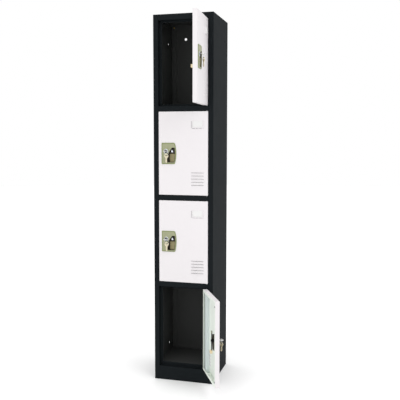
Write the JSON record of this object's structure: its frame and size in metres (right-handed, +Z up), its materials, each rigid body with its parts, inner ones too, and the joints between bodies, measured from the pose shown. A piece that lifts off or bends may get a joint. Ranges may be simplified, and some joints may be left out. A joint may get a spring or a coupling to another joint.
{
  "type": "locker cabinet",
  "caption": "Narrow steel locker cabinet with stacked compartments, flush hinged doors, recessed handles with key locks, label holders and louvres.",
  "frame": {"origin": "middle of the cabinet's footprint, on the floor", "axes": "+Z up, doors facing -Y, hinges on the +X side"},
  "size_m": [0.3993, 0.5481, 1.829],
  "materials": {
    "body_paint": "satin dark grey powder coat",
    "door_paint": "satin white powder coat",
    "handle": "satin champagne",
    "lock_metal": "polished",
    "black_steel": "black phosphate",
    "nylon": "matt cream",
    "key_metal": "nickel plated",
    "spare_metal": "worn brass",
    "yellow_zinc": "yellow zinc plated",
    "pin_metal": "bright zinc plated"
  },
  "bodies": {
    "cabinet": {"side_left": "body_paint", "side_right": "body_paint", "back_panel": "body_paint", "top_panel": "body_paint", "top_rail": "body_paint", "kick_plate": "body_paint", "plinth_frame": "body_paint", "floor_panel": "body_paint", "rail_1": "body_paint", "rail_2": "body_paint", "rail_3": "body_paint", "shelf_1": "body_paint", "shelf_2": "body_paint", "shelf_3": "body_paint", "assembly_bolts": "yellow_zinc"},
    "door_1": {"door_1": "door_paint", "door_channel_1": "door_paint", "handle_plate_1": "handle", "lock_barrel_1": "lock_metal", "label_holder_1": "door_paint", "hinge_pins_1": "pin_metal"},
    "lock_1": {"lock_cam_1": "black_steel", "latch_tip_1": "nylon", "key_1": "key_metal"},
    "keyring_1": {"key_ring_1": "key_metal", "spare_key_1": "spare_metal"},
    "door_2": {"door_2": "door_paint", "door_channel_2": "door_paint", "handle_plate_2": "handle", "lock_barrel_2": "lock_metal", "label_holder_2": "door_paint", "hinge_pins_2": "pin_metal"},
    "lock_2": {"lock_cam_2": "black_steel", "latch_tip_2": "nylon", "key_2": "key_metal"},
    "keyring_2": {"key_ring_2": "key_metal", "spare_key_2": "spare_metal"},
    "door_3": {"door_3": "door_paint", "door_channel_3": "door_paint", "handle_plate_3": "handle", "lock_barrel_3": "lock_metal", "label_holder_3": "door_paint", "hinge_pins_3": "pin_metal"},
    "lock_3": {"lock_cam_3": "black_steel", "latch_tip_3": "nylon", "key_3": "key_metal"},
    "keyring_3": {"key_ring_3": "key_metal", "spare_key_3": "spare_metal"},
    "door_4": {"door_4": "door_paint", "door_channel_4": "door_paint", "handle_plate_4": "handle", "lock_barrel_4": "lock_metal", "label_holder_4": "door_paint", "hinge_pins_4": "pin_metal"},
    "lock_4": {"lock_cam_4": "black_steel", "latch_tip_4": "nylon", "key_4": "key_metal"},
    "keyring_4": {"key_ring_4": "key_metal", "spare_key_4": "spare_metal"}
  },
  "joints": [
    {"name": "door_1_swing", "type": "hinge", "parent": "cabinet", "child": "door_1", "pos_m": [0.12025, -0.1485, 1.38825], "axis": [0, 0, 1], "range_deg": [-93.4, 24.6]},
    {"name": "lock_1_turn", "type": "hinge", "parent": "door_1", "child": "lock_1", "pos_m": [0.13658, -0.3559, 1.60488], "axis": [-0.9982, -0.0593, 0], "range_deg": [0, 90]},
    {"name": "keyring_1_sway", "type": "hinge", "parent": "door_1", "child": "keyring_1", "pos_m": [0.1561, -0.3473, 1.60715], "axis": [-0.9982, -0.0593, 0], "range_deg": [-4, 8]},
    {"name": "door_2_swing", "type": "hinge", "parent": "cabinet", "child": "door_2", "pos_m": [0.12025, -0.1485, 0.9495], "axis": [0, 0, 1], "range_deg": [0, 118]},
    {"name": "lock_2_turn", "type": "hinge", "parent": "door_2", "child": "lock_2", "pos_m": [-0.08775, -0.1525, 1.16613], "axis": [0, 1, 0], "range_deg": [0, 90]},
    {"name": "keyring_2_sway", "type": "hinge", "parent": "door_2", "child": "keyring_2", "pos_m": [-0.08032, -0.1725, 1.1684], "axis": [0, 1, 0], "range_deg": [-4, 8]},
    {"name": "door_3_swing", "type": "hinge", "parent": "cabinet", "child": "door_3", "pos_m": [0.12025, -0.1485, 0.51075], "axis": [0, 0, 1], "range_deg": [0, 118]},
    {"name": "lock_3_turn", "type": "hinge", "parent": "door_3", "child": "lock_3", "pos_m": [-0.08775, -0.1525, 0.72737], "axis": [0, 1, 0], "range_deg": [0, 90]},
    {"name": "keyring_3_sway", "type": "hinge", "parent": "door_3", "child": "keyring_3", "pos_m": [-0.08032, -0.1725, 0.72965], "axis": [0, 1, 0], "range_deg": [-4, 8]},
    {"name": "door_4_swing", "type": "hinge", "parent": "cabinet", "child": "door_4", "pos_m": [0.12025, -0.1485, 0.072], "axis": [0, 0, 1], "range_deg": [-117.8, 0.2]},
    {"name": "lock_4_turn", "type": "hinge", "parent": "door_4", "child": "lock_4", "pos_m": [0.2208, -0.33063, 0.28863], "axis": [-0.8846, -0.4664, 0], "range_deg": [0, 90]},
    {"name": "keyring_4_sway", "type": "hinge", "parent": "door_4", "child": "keyring_4", "pos_m": [0.23503, -0.31473, 0.2909], "axis": [-0.8846, -0.4664, 0], "range_deg": [-4, 8]}
  ]
}
